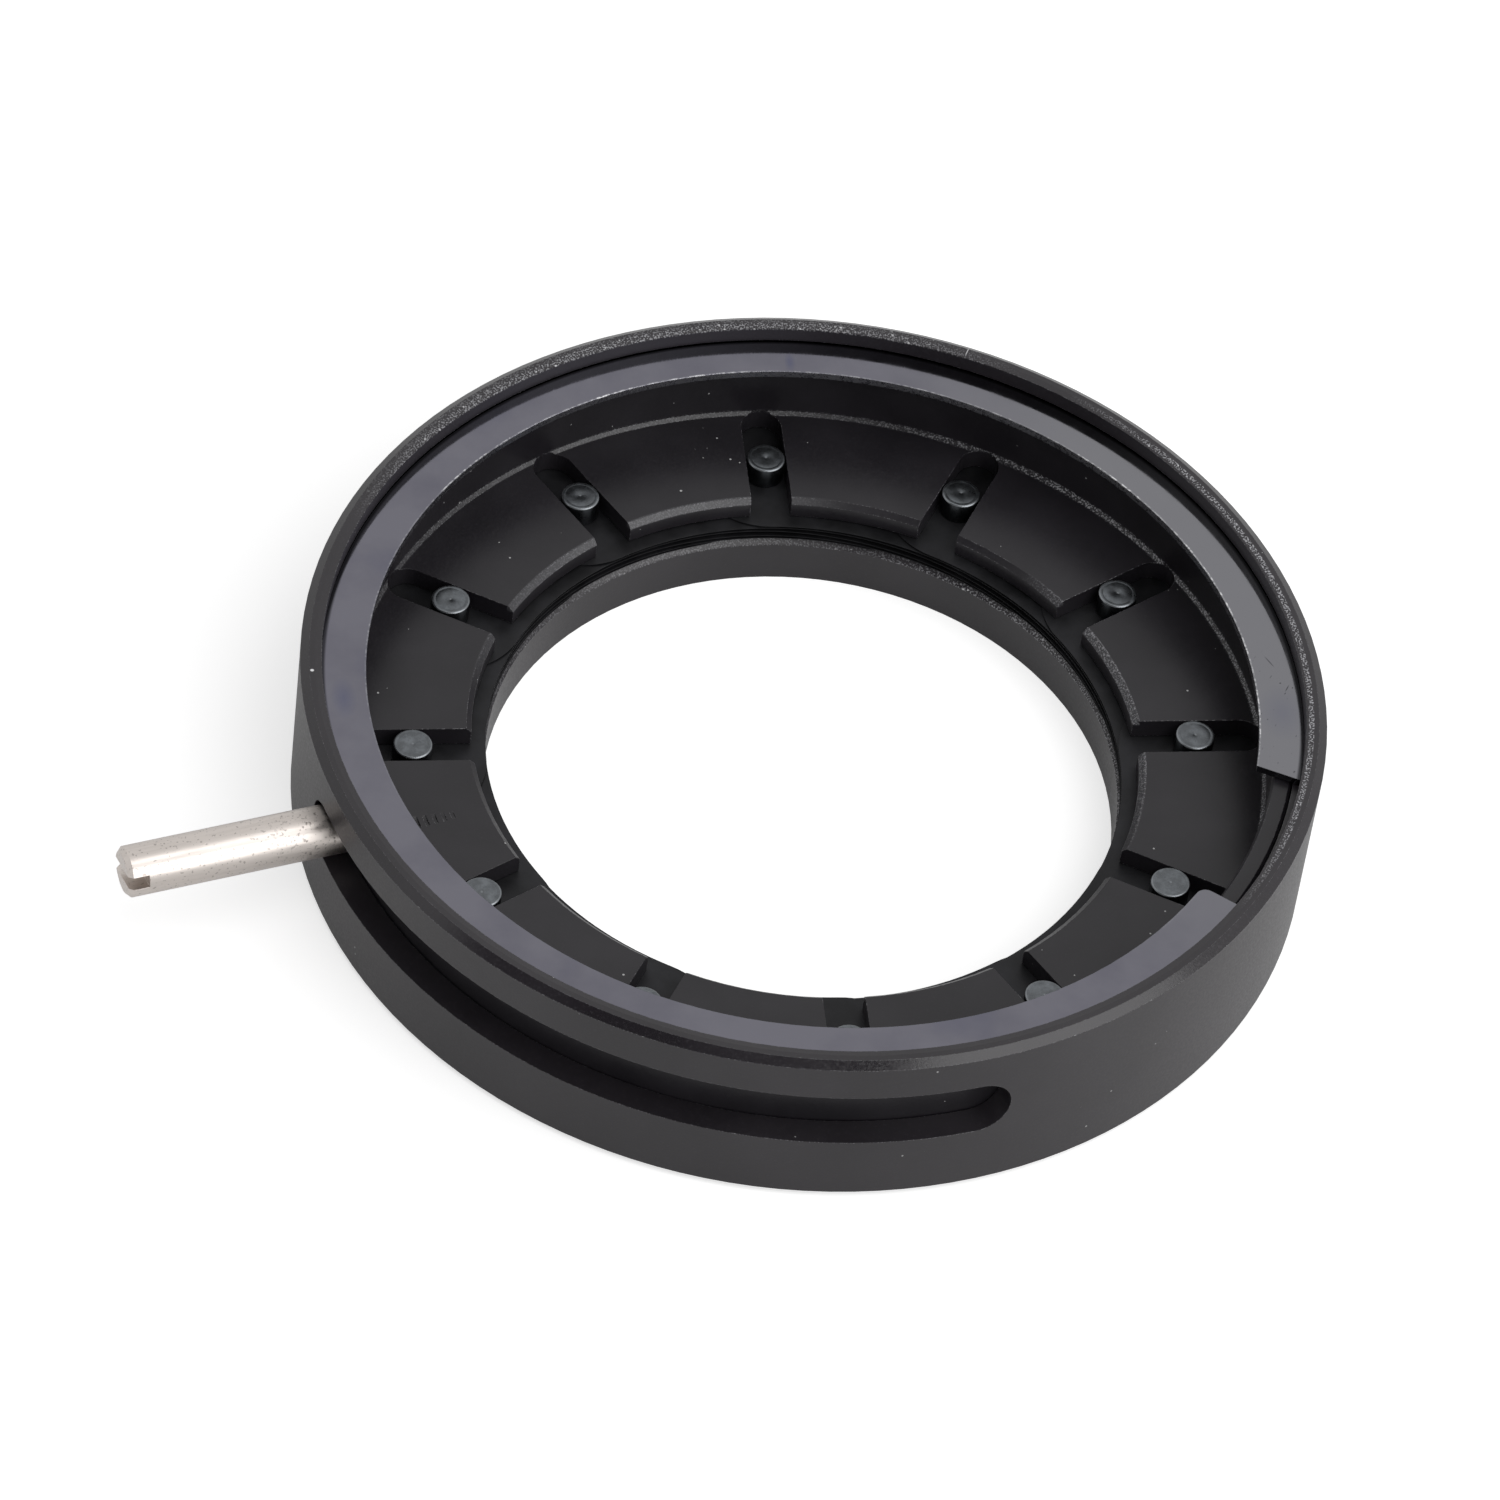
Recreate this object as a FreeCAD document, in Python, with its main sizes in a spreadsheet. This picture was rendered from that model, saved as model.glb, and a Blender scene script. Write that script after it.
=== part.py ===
import FreeCAD, Part
import math
import os
import Sketcher
from FreeCAD import Placement, Rotation, Vector

# Iris diaphragm. A round housing holds a floor with the light opening, twelve
# thin blades that turn on pivot pins in that floor, a drive ring whose radial
# slots carry the blades' drive pins, and a spring clip that keeps the ring in.
# A round lever is screwed into the drive ring and reaches out through a slot in
# the housing wall. The origin is the centre of the light opening at the base
# face, +Z is the light axis towards the clip, and azimuths count from +X
# towards +Y. The model stands with the iris fully open. Millimetres, degrees.

SIZES = {
    # counts
    "BladeCount": 12,
    "TapMarkCount": 5,
    # angles
    "DriveTravel": 86.0,
    "LeverAzimuth": 194.6,
    "LeverSlotLead": 0.4,
    "LeverSlotOverrun": 2.0,
    "ClipGapAzimuth": 322.5,
    "ClipGapInner": 23.2,
    "ClipGapOuter": 21.9,
    # radial sizes, from the pin circle inwards and outwards
    "PinCircle": 30.0,
    "BladeWidth": 11.4,
    "BladeOverBore": 0.1,
    "ToothSetback": 1.25,
    "BladeEdgeRoom": 0.5,
    "ShelfWidth": 0.5,
    "RingPlay": 0.1,
    "RingWall": 1.5,
    "HousingWall": 2.1,
    "GrooveDepth": 1.3,
    "LipStep": 0.5,
    "ClipPlay": 0.1,
    "ClipWidth": 4.1,
    "ClipCorner": 0.8,
    # heights, from the base upwards
    "FloorThickness": 4.1,
    "BladeSpace": 1.5,
    "BladePlay": 0.05,
    "BladeThickness": 0.03,
    "ToothThickness": 1.65,
    "RingHeight": 6.85,
    "EndPlay": 0.1,
    "ClipThickness": 0.6,
    "GroovePlay": 0.1,
    "RimHeight": 1.35,
    # pins
    "PinHead": 3.0,
    "PinSlotPlay": 0.1,
    "PinSlotBreak": 0.1,
    "ShankDiameter": 1.8,
    "HeadGap": 0.04,
    "HeadThickness": 0.12,
    "HeadChamfer": 0.06,
    "PipDiameter": 0.4,
    "PipDepth": 0.05,
    "TenonDiameter": 1.2,
    "TenonPlay": 0.02,
    "PivotLength": 2.3,
    "PivotPlay": 0.05,
    "PivotHoleRoom": 0.3,
    "PivotChamfer": 0.15,
    # lever
    "LeverHeight": 3.0,
    "LeverDiameter": 3.9,
    "LeverReach": 15.55,
    "LeverSlotPlay": 0.55,
    "LeverChamfer": 0.35,
    "TapDrill": 3.3,
    "ThreadPlay": 0.03,
    "ThreadEnd": 0.5,
    "ThreadChamfer": 0.3,
    "ScrewSlotTurn": 74.0,
    "ScrewSlotWidth": 1.0,
    "ScrewSlotDepth": 1.55,
    # marks that the tap left in the face of the drive ring
    "TapMarkDiameter": 2.98,
    "TapMarkTaper": 0.04,
    "TapMarkWidth": 0.28,
    "TapPitch": 0.7,
    "TapMarkSetback": 3.7,
    # broken edges
    "BaseChamfer": 0.55,
    "BoreChamfer": 0.48,
    "RimChamferWidth": 0.65,
    "RimChamferHeight": 0.45,
    "RimBevelWidth": 0.5,
    "RimBevelDrop": 0.1,
    "ToothChamfer": 0.4,
    "FootChamfer": 0.25,
    "RingEdge": 0.2,
    # blade ramp: the steepest stretch is at the middle of the blade
    "RampKnee": 21.0,
    "RampStepCount": 9,
    "PadMargin": 2.0,
}


class Size:
    """A size as a number, with the expression that ties it to the sheet."""

    def __init__(self, number, text):
        self.number = number
        self.text = text

    def __add__(self, other):
        other = as_size(other)
        return Size(self.number + other.number, f"({self.text} + {other.text})")

    def __sub__(self, other):
        other = as_size(other)
        return Size(self.number - other.number, f"({self.text} - {other.text})")

    def __rsub__(self, other):
        return as_size(other) - self

    def __neg__(self):
        return 0 - self

    def __rtruediv__(self, other):
        return as_size(other) / self

    def __mul__(self, other):
        other = as_size(other)
        return Size(self.number * other.number, f"({self.text} * {other.text})")

    def __truediv__(self, other):
        other = as_size(other)
        return Size(self.number / other.number, f"({self.text} / {other.text})")

    __radd__ = __add__
    __rmul__ = __mul__


def as_size(value):
    return value if isinstance(value, Size) else Size(value, repr(value))


def cosine(angle):
    return Size(math.cos(math.radians(angle.number)), f"cos({angle.text})")


def sine(angle):
    return Size(math.sin(math.radians(angle.number)), f"sin({angle.text})")


def make_sheet(doc):
    """Writes every driving size into the sheet, one row each."""
    sheet = doc.addObject("Spreadsheet::Sheet", "Sizes")
    for row, (alias, value) in enumerate(SIZES.items(), start=1):
        sheet.set(f"A{row}", alias)
        sheet.set(f"B{row}", str(value))
        sheet.setAlias(f"B{row}", alias)
    doc.recompute()
    return sheet


class Levels:
    """Radii and heights that follow from the driving sizes."""

    def __init__(self, sheet):
        for alias in SIZES:
            setattr(self, alias, Size(float(sheet.get(alias)), f"{sheet.Name}.{alias}"))
        self.blade_inner = self.PinCircle - self.BladeWidth / 2
        self.blade_outer = self.PinCircle + self.BladeWidth / 2
        self.bore = self.blade_inner - self.BladeOverBore
        self.tooth_inner = self.bore + self.ToothSetback
        self.blade_pocket = self.blade_outer + self.BladeEdgeRoom
        self.ring_pocket = self.blade_pocket + self.ShelfWidth
        self.ring_outer = self.ring_pocket - self.RingPlay
        self.ring_inner = self.ring_outer - self.RingWall
        self.housing_outer = self.ring_pocket + self.HousingWall
        self.groove = self.ring_pocket + self.GrooveDepth
        self.lip = self.ring_pocket + self.LipStep
        self.clip_outer = self.groove - self.ClipPlay
        self.clip_inner = self.clip_outer - self.ClipWidth
        self.ring_bottom = self.FloorThickness + self.BladeSpace
        self.shelf = self.ring_bottom - self.EndPlay
        self.tooth_top = self.ring_bottom + self.ToothThickness
        self.ring_top = self.ring_bottom + self.RingHeight
        self.clip_bottom = self.ring_top + self.EndPlay
        self.groove_bottom = self.clip_bottom - self.GroovePlay
        self.groove_top = self.clip_bottom + self.ClipThickness + self.GroovePlay
        self.housing_top = self.groove_top + self.RimHeight
        self.lever_axis = self.ring_bottom + self.LeverHeight
        self.lever_slot_width = self.LeverDiameter + 2 * self.LeverSlotPlay
        self.pin_slot_width = self.PinHead + 2 * self.PinSlotPlay
        self.pad_low = self.FloorThickness + self.BladePlay
        self.pad_high = self.ring_bottom - self.BladePlay
        self.head_bottom = self.tooth_top + self.HeadGap
        self.head_top = self.head_bottom + self.HeadThickness
        # The blade turns half as far as the ring. With this angle between its two
        # pins the drive pin is back on the pin circle at the end of the travel.
        self.blade_span = 180 - self.DriveTravel / 2


def new_body(doc, name):
    body = doc.addObject("PartDesign::Body", name)
    body.Label = name
    return body


def new_sketch(body, name, plane):
    """A sketch on one of the body's own origin planes."""
    sketch = body.newObject("Sketcher::SketchObject", name)
    support = next(item for item in body.Origin.OriginFeatures if item.Role == plane)
    sketch.AttachmentSupport = [(support, "")]
    sketch.MapMode = "FlatFace"
    return sketch


def level_sketch(body, name, height):
    """A sketch that looks down the light axis, at a height above the base."""
    sketch = new_sketch(body, name, "XY_Plane")
    sketch.setExpression("AttachmentOffset.Base.z", height.text)
    return sketch


def turned_sketch(body, name, plane, azimuth, out=None):
    """A sketch on an upright plane turned to an azimuth, moved out along its normal."""
    sketch = new_sketch(body, name, plane)
    sketch.AttachmentOffset = Placement(Vector(), Rotation(Vector(0, 1, 0), azimuth.number))
    sketch.setExpression("AttachmentOffset.Rotation.Angle", azimuth.text)
    if out is not None:
        sketch.setExpression("AttachmentOffset.Base.x", (out * sine(azimuth)).text)
        sketch.setExpression("AttachmentOffset.Base.z", (out * cosine(azimuth)).text)
    return sketch


def tie(thing, prop, size):
    setattr(thing, prop, size.number)
    thing.setExpression(prop, size.text)


def constrain(sketch, *terms, size=None):
    """Adds one constraint and ties its value to the sheet."""
    if size is None:
        sketch.addConstraint(Sketcher.Constraint(*terms))
        return
    index = sketch.addConstraint(Sketcher.Constraint(*terms, size.number))
    sketch.setExpression(f"Constraints[{index}]", size.text)


def place_point(sketch, edge, point, across, up):
    """Holds a point of an edge at two distances from the origin, 0 for an axis."""
    if across == 0:
        constrain(sketch, "PointOnObject", edge, point, -2)
    else:
        constrain(sketch, "DistanceX", -1, 1, edge, point, size=across)
    if up == 0:
        constrain(sketch, "PointOnObject", edge, point, -1)
    else:
        constrain(sketch, "DistanceY", -1, 1, edge, point, size=up)


def polygon(sketch, corners):
    """Draws a closed outline of straight edges through the corners."""
    points = [Vector(as_size(across).number, as_size(up).number, 0) for across, up in corners]
    count = len(points)
    for index in range(count):
        sketch.addGeometry(Part.LineSegment(points[index], points[(index + 1) % count]), False)
    for index in range(count):
        constrain(sketch, "Coincident", index, 2, (index + 1) % count, 1)
    for index, (across, up) in enumerate(corners):
        place_point(sketch, index, 1, across, up)


def circle(sketch, across, up, diameter):
    centre = Vector(as_size(across).number, as_size(up).number, 0)
    edge = sketch.addGeometry(Part.Circle(centre, Vector(0, 0, 1), diameter.number / 2), False)
    if across == 0 and up == 0:
        constrain(sketch, "Coincident", edge, 3, -1, 1)
    else:
        place_point(sketch, edge, 3, across, up)
    constrain(sketch, "Diameter", edge, size=diameter)


def revolve(body, name, sketch, axis):
    turned = body.newObject("PartDesign::Revolution", name)
    turned.Profile = (sketch, [""])
    turned.ReferenceAxis = (sketch, [axis])
    turned.Angle = 360.0
    return turned


def pocket(body, name, sketch, depth, back=False):
    """Cuts the sketch's outline against its normal, or along it with back."""
    cut = body.newObject("PartDesign::Pocket", name)
    cut.Profile = (sketch, [""])
    tie(cut, "Length", depth)
    cut.Reversed = back
    return cut


def around(body, name, feature, count):
    """Repeats a cut evenly around the light axis."""
    body.Document.recompute()
    pattern = body.newObject("PartDesign::PolarPattern", name)
    pattern.Originals = [feature]
    axis = next(item for item in body.Origin.OriginFeatures if item.Role == "Z_Axis")
    pattern.Axis = (axis, [""])
    pattern.Angle = 360.0
    pattern.setExpression("Occurrences", count.text)
    body.Tip = pattern
    return pattern


def turn_about_axis(body, azimuth):
    """Turns a whole body about the light axis."""
    body.Placement = Placement(Vector(), Rotation(Vector(0, 0, 1), azimuth.number))
    body.setExpression("Placement.Rotation.Angle", azimuth.text)


def make_housing(doc, at):
    """The turned housing, with the lever slot and the blind pivot holes."""
    body = new_body(doc, "housing")
    profile = new_sketch(body, "housing_profile", "XZ_Plane")
    polygon(profile, [
        (at.bore, 0),
        (at.housing_outer - at.BaseChamfer, 0),
        (at.housing_outer, at.BaseChamfer),
        (at.housing_outer, at.housing_top - at.RimChamferHeight),
        (at.housing_outer - at.RimChamferWidth, at.housing_top),
        (at.lip + at.RimBevelWidth, at.housing_top),
        (at.lip, at.housing_top - at.RimBevelDrop),
        (at.lip, at.groove_top),
        (at.groove, at.groove_top),
        (at.groove, at.groove_bottom),
        (at.ring_pocket, at.groove_bottom),
        (at.ring_pocket, at.shelf),
        (at.blade_pocket, at.shelf),
        (at.blade_pocket, at.FloorThickness),
        (at.bore + at.BoreChamfer, at.FloorThickness),
        (at.bore, at.FloorThickness - at.BoreChamfer),
    ])
    revolve(body, "housing_turned", profile, "V_Axis")
    cut_lever_slot(body, at)
    holes = level_sketch(body, "pivot_hole_outline", at.FloorThickness)
    pivot = -at.blade_span
    hole = at.ShankDiameter + 2 * at.PivotPlay
    circle(holes, at.PinCircle * cosine(pivot), at.PinCircle * sine(pivot), hole)
    drilled = pocket(body, "pivot_hole", holes, at.PivotLength + at.PivotHoleRoom)
    around(body, "pivot_holes", drilled, at.BladeCount)
    return body


def cut_lever_slot(body, at):
    """A slot along the wall for the lever, with round ends."""
    start = at.LeverAzimuth + at.LeverSlotLead
    sweep = at.DriveTravel + at.LeverSlotOverrun - at.LeverSlotLead
    half_width = at.lever_slot_width / 2
    for name, azimuth in (("lever_slot_start", start), ("lever_slot_end", start + sweep)):
        end = turned_sketch(body, name + "_outline", "YZ_Plane", azimuth)
        circle(end, 0, at.lever_axis, at.lever_slot_width)
        pocket(body, name, end, at.housing_outer + at.HousingWall, back=True)
    run = turned_sketch(body, "lever_slot_outline", "XZ_Plane", start)
    inner = at.ring_pocket - at.RingPlay
    outer = at.housing_outer + at.HousingWall
    low = at.lever_axis - half_width
    high = at.lever_axis + half_width
    polygon(run, [(inner, low), (outer, low), (outer, high), (inner, high)])
    groove = body.newObject("PartDesign::Groove", "lever_slot")
    groove.Profile = (run, [""])
    groove.ReferenceAxis = (run, ["V_Axis"])
    tie(groove, "Angle", sweep)


def make_clip(doc, at):
    """The flat spring clip in the housing's groove, open over its gap."""
    body = new_body(doc, "retaining_ring")
    flat = level_sketch(body, "clip_outline", at.clip_bottom)
    circle(flat, 0, 0, 2 * at.clip_outer)
    circle(flat, 0, 0, 2 * at.clip_inner)
    plate = body.newObject("PartDesign::Pad", "clip_plate")
    plate.Profile = (flat, [""])
    tie(plate, "Length", at.ClipThickness)
    # The far end of the gap is cut aslant, so its angle falls by the same amount
    # over the clip's width and over one more width on each side.
    gap = level_sketch(body, "clip_gap_outline", at.clip_bottom)
    slant = at.ClipGapInner - at.ClipGapOuter
    within = at.clip_inner - at.ClipWidth
    within_angle = at.ClipGapInner + slant
    beyond = at.clip_outer + at.ClipWidth
    beyond_angle = at.ClipGapOuter - slant
    polygon(gap, [
        (within, 0),
        (beyond, 0),
        (beyond * cosine(beyond_angle), beyond * sine(beyond_angle)),
        (within * cosine(within_angle), within * sine(within_angle)),
    ])
    cut = pocket(body, "clip_gap", gap, at.ClipThickness, back=True)
    doc.recompute()
    corner = body.newObject("PartDesign::Fillet", "clip_corner")
    corner.Base = (cut, [edge_near(cut, Vector(at.clip_inner.number, 0, at.clip_bottom.number))])
    tie(corner, "Radius", at.ClipCorner)
    turn_about_axis(body, at.ClipGapAzimuth)
    return body


def edge_near(feature, corner):
    """The name of the upright edge that starts at a corner."""
    for index, edge in enumerate(feature.Shape.Edges, start=1):
        low, high = sorted((vertex.Point for vertex in edge.Vertexes), key=lambda point: point.z)
        if low.isEqual(corner, 1e-4) and high.z > low.z:
            return f"Edge{index}"
    raise RuntimeError(f"{feature.Name} has no upright edge at {corner}")


def make_drive_ring(doc, at):
    """The drive ring: an outer wall and a slotted web over the blades."""
    body = new_body(doc, "drive_ring")
    profile = new_sketch(body, "ring_profile", "XZ_Plane")
    polygon(profile, [
        (at.tooth_inner, at.ring_bottom),
        (at.ring_outer - at.RingEdge, at.ring_bottom),
        (at.ring_outer, at.ring_bottom + at.RingEdge),
        (at.ring_outer, at.ring_top - at.RingEdge),
        (at.ring_outer - at.RingEdge, at.ring_top),
        (at.ring_inner + at.RingEdge, at.ring_top),
        (at.ring_inner, at.ring_top - at.RingEdge),
        (at.ring_inner, at.tooth_top + at.FootChamfer),
        (at.ring_inner - at.FootChamfer, at.tooth_top),
        (at.tooth_inner + at.ToothChamfer, at.tooth_top),
        (at.tooth_inner, at.tooth_top - at.ToothChamfer),
    ])
    revolve(body, "ring_turned", profile, "V_Axis")
    slot = level_sketch(body, "pin_slot_outline", at.ring_bottom)
    draw_open_slot(slot, at)
    milled = pocket(body, "pin_slot", slot, at.ToothThickness + at.FootChamfer, back=True)
    around(body, "pin_slots", milled, at.BladeCount)
    inside = at.ring_inner - at.ThreadEnd - at.ThreadPlay
    tap = turned_sketch(body, "lever_hole_outline", "YZ_Plane", at.LeverAzimuth, inside)
    circle(tap, 0, at.lever_axis, at.TapDrill)
    pocket(body, "lever_hole", tap, at.housing_outer, back=True)
    for index in range(int(at.TapMarkCount.number)):
        cut_tap_mark(body, at, index)
    return body


def draw_open_slot(sketch, at):
    """One radial slot, open towards the light axis and round at its far end."""
    radius = at.pin_slot_width / 2
    start = at.bore
    centre = at.ring_inner + at.PinSlotBreak - radius
    low = Vector(start.number, -radius.number, 0)
    low_end = Vector(centre.number, -radius.number, 0)
    high_end = Vector(centre.number, radius.number, 0)
    high = Vector(start.number, radius.number, 0)
    middle = Part.Circle(Vector(centre.number, 0, 0), Vector(0, 0, 1), radius.number)
    sketch.addGeometry(Part.LineSegment(low, low_end), False)
    sketch.addGeometry(Part.ArcOfCircle(middle, -math.pi / 2, math.pi / 2), False)
    sketch.addGeometry(Part.LineSegment(high_end, high), False)
    sketch.addGeometry(Part.LineSegment(high, low), False)
    for edge, point, other, other_point in ((0, 2, 1, 1), (1, 2, 2, 1), (2, 2, 3, 1), (3, 2, 0, 1)):
        constrain(sketch, "Coincident", edge, point, other, other_point)
    constrain(sketch, "Horizontal", 0)
    constrain(sketch, "Horizontal", 2)
    constrain(sketch, "Vertical", 3)
    constrain(sketch, "PointOnObject", 1, 3, -1)
    constrain(sketch, "Vertical", 1, 3, 1, 1)
    constrain(sketch, "Vertical", 1, 3, 1, 2)
    constrain(sketch, "Radius", 1, size=radius)
    constrain(sketch, "DistanceX", -1, 1, 1, 3, size=centre)
    constrain(sketch, "DistanceX", -1, 1, 0, 1, size=start)


def cut_tap_mark(body, at, index):
    """A thin round cut across the lever's line, where a tapered tap grazed the web."""
    out = at.ring_inner - at.TapMarkSetback - index * at.TapPitch
    mark = turned_sketch(body, f"tap_mark_outline_{index + 1}", "YZ_Plane", at.LeverAzimuth, out)
    circle(mark, 0, at.lever_axis, at.TapMarkDiameter - index * at.TapMarkTaper)
    pocket(body, f"tap_mark_{index + 1}", mark, at.TapMarkWidth)


def make_lever(doc, at):
    """The lever: a rod along the drive ring's radius, with a screwdriver slot."""
    body = new_body(doc, "lever")
    thread = at.TapDrill / 2 - at.ThreadPlay
    rod = at.LeverDiameter / 2
    inside = at.ring_inner - at.ThreadEnd
    tip = at.housing_outer + at.LeverReach
    profile = new_sketch(body, "lever_profile", "XY_Plane")
    polygon(profile, [
        (inside, 0),
        (tip, 0),
        (tip, rod - at.LeverChamfer),
        (tip - at.LeverChamfer, rod),
        (at.ring_outer, rod),
        (at.ring_outer, thread),
        (inside + at.ThreadChamfer, thread),
        (inside, thread - at.ThreadChamfer),
    ])
    revolve(body, "lever_turned", profile, "H_Axis")
    half_slot = at.ScrewSlotWidth / 2
    slot = new_sketch(body, "screw_slot_outline", "XY_Plane")
    # The slot stands upright at a turn of 0. Screwed home, the lever stops past that.
    slot.AttachmentOffset = Placement(Vector(), Rotation(Vector(-1, 0, 0), at.ScrewSlotTurn.number))
    slot.setExpression("AttachmentOffset.Rotation.Angle", at.ScrewSlotTurn.text)
    polygon(slot, [
        (tip - at.ScrewSlotDepth, -half_slot),
        (tip + at.ScrewSlotDepth, -half_slot),
        (tip + at.ScrewSlotDepth, half_slot),
        (tip - at.ScrewSlotDepth, half_slot),
    ])
    cut = pocket(body, "screw_slot", slot, 2 * at.LeverDiameter)
    cut.SideType = "Symmetric"
    body.setExpression("Placement.Base.z", at.lever_axis.text)
    turn_about_axis(body, at.LeverAzimuth)
    return body


def place_on_pin_circle(body, at, azimuth):
    """Moves a turned piece from the light axis out to the pin circle."""
    body.setExpression("Placement.Base.x", (at.PinCircle * cosine(azimuth)).text)
    body.setExpression("Placement.Base.y", (at.PinCircle * sine(azimuth)).text)


def make_drive_pin(doc, at, number, azimuth):
    """A headed pin on the blade's high end, standing up through its slot."""
    body = new_body(doc, f"drive_pin_{number:02d}")
    profile = new_sketch(body, f"drive_pin_profile_{number:02d}", "XZ_Plane")
    tenon = at.TenonDiameter / 2
    shank = at.ShankDiameter / 2
    head = at.PinHead / 2
    polygon(profile, [
        (0, at.pad_high - at.BladeThickness),
        (tenon, at.pad_high - at.BladeThickness),
        (tenon, at.pad_high),
        (shank, at.pad_high),
        (shank, at.head_bottom),
        (head, at.head_bottom),
        (head, at.head_top - at.HeadChamfer),
        (head - at.HeadChamfer, at.head_top),
        (at.PipDiameter / 2, at.head_top),
        (0, at.head_top - at.PipDepth),
    ])
    revolve(body, f"drive_pin_turned_{number:02d}", profile, "V_Axis")
    place_on_pin_circle(body, at, azimuth)
    return body


def make_pivot_pin(doc, at, number, azimuth):
    """A plain pin on the blade's low end, standing down into the floor."""
    body = new_body(doc, f"pivot_pin_{number:02d}")
    profile = new_sketch(body, f"pivot_pin_profile_{number:02d}", "XZ_Plane")
    tenon = at.TenonDiameter / 2
    shank = at.ShankDiameter / 2
    foot = at.FloorThickness - at.PivotLength
    polygon(profile, [
        (0, foot),
        (shank - at.PivotChamfer, foot),
        (shank, foot + at.PivotChamfer),
        (shank, at.pad_low),
        (tenon, at.pad_low),
        (tenon, at.pad_low + at.BladeThickness),
        (0, at.pad_low + at.BladeThickness),
    ])
    revolve(body, f"pivot_pin_turned_{number:02d}", profile, "V_Axis")
    place_on_pin_circle(body, at, azimuth)
    return body


def ramp_levels(at):
    """Angles along the blade from its middle, each with the blade's mid height.

    The blade climbs from a flat pad at its pivot to a flat pad at its drive pin.
    Each step climbs as far as the next, and the steps grow longer away from the
    middle, because there the blades cross each other at wider angles.
    """
    half_span = at.blade_span.number / 2
    pad = half_span - at.PadMargin.number
    pad_end = half_span + 2 * math.degrees(math.asin(at.BladeWidth.number / 2 / at.PinCircle.number))
    low = at.pad_low.number + at.BladeThickness.number / 2
    high = at.pad_high.number - at.BladeThickness.number / 2
    middle = (low + high) / 2
    knee = at.RampKnee.number
    steps = int(at.RampStepCount.number)
    rising = [(pad_end, high)]
    for step in range(steps, 0, -1):
        angle = knee * ((1 + pad / knee) ** (step / steps) - 1)
        rising.append((angle, middle + (high - low) / 2 * step / steps))
    falling = [(-angle, 2 * middle - height) for angle, height in rising]
    return falling + [(0.0, middle)] + rising[::-1]


def polar(radius, angle, height=0.0):
    turn = math.radians(angle)
    return Vector(radius * math.cos(turn), radius * math.sin(turn), height)


def blade_ramp(at):
    """A thin sheet, wider than the blade, that follows the ramp around the axis."""
    inner = at.blade_inner.number - at.BladeWidth.number / 4
    outer = at.blade_outer.number + at.BladeWidth.number / 4
    half = at.BladeThickness.number / 2
    sections = []
    for angle, height in ramp_levels(at):
        corners = [
            polar(inner, angle, height - half),
            polar(outer, angle, height - half),
            polar(outer, angle, height + half),
            polar(inner, angle, height + half),
        ]
        sections.append(Part.makePolygon(corners + corners[:1]))
    return Part.makeLoft(sections, True, True)


def blade_outline(at):
    """The blade seen along the light axis: a curved band with round ends."""
    inner = at.blade_inner.number
    outer = at.blade_outer.number
    half_span = at.blade_span.number / 2
    edges = [
        Part.Arc(polar(outer, -half_span), polar(outer, 0.0), polar(outer, half_span)),
        Part.Arc(polar(outer, half_span), round_end(at, 1), polar(inner, half_span)),
        Part.Arc(polar(inner, half_span), polar(inner, 0.0), polar(inner, -half_span)),
        Part.Arc(polar(inner, -half_span), round_end(at, -1), polar(outer, -half_span)),
    ]
    return Part.Face(Part.Wire([edge.toShape() for edge in edges]))


def round_end(at, side):
    """The tip of the blade's round end, at the drive pin (1) or the pivot (-1)."""
    half_span = at.blade_span.number / 2 * side
    centre = polar(at.PinCircle.number, half_span)
    return centre + polar(at.BladeWidth.number / 2, half_span + 90 * side)


def blade_shape(at):
    """One blade about its own arc centre, its middle at azimuth 0."""
    height = at.ring_bottom.number
    prism = blade_outline(at).extrude(Vector(0, 0, height))
    blade = prism.common(blade_ramp(at))
    hole = at.TenonDiameter.number / 2 + at.TenonPlay.number
    for side in (-1, 1):
        centre = polar(at.PinCircle.number, side * at.blade_span.number / 2)
        blade = blade.cut(Part.makeCylinder(hole, height, centre))
    return blade.Solids[0]


def make_blade(doc, shape, at, number, azimuth):
    """One blade, turned so that its drive pin stands at the azimuth."""
    blade = doc.addObject("Part::Feature", f"blade_{number:02d}")
    blade.Label = f"blade_{number:02d}"
    blade.Shape = shape
    middle = azimuth.number - at.blade_span.number / 2
    blade.Placement = Placement(Vector(), Rotation(Vector(0, 0, 1), middle))
    return blade


def main():
    os.makedirs("parts", exist_ok=True)
    doc = FreeCAD.newDocument("iris_diaphragm")
    at = Levels(make_sheet(doc))
    pieces = [
        make_housing(doc, at),
        make_clip(doc, at),
        make_drive_ring(doc, at),
        make_lever(doc, at),
    ]
    shape = blade_shape(at)
    for number in range(1, int(at.BladeCount.number) + 1):
        azimuth = 360 * (number - 1) / at.BladeCount
        pieces.append(make_blade(doc, shape, at, number, azimuth))
        pieces.append(make_pivot_pin(doc, at, number, azimuth - at.blade_span))
        pieces.append(make_drive_pin(doc, at, number, azimuth))
    doc.recompute()
    for item in doc.Objects:
        if "Invalid" in item.State or "Error" in item.State:
            raise RuntimeError(f"{item.Label}: {item.State}")
    for piece in pieces:
        if piece.Shape.isNull() or not piece.Shape.isValid():
            raise RuntimeError(f"{piece.Label} has no valid shape")
        print(piece.Label, len(piece.Shape.Solids), round(piece.Shape.Volume, 3), piece.Shape.BoundBox)
    for piece in pieces:
        piece.Shape.exportStep(f"parts/{piece.Label}.step")


main()
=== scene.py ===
"""Iris diaphragm: finishes, turned pins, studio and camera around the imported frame."""

import logging
import math
from dataclasses import dataclass, field
from enum import Enum
from typing import Dict, Optional, Tuple, Union

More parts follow.
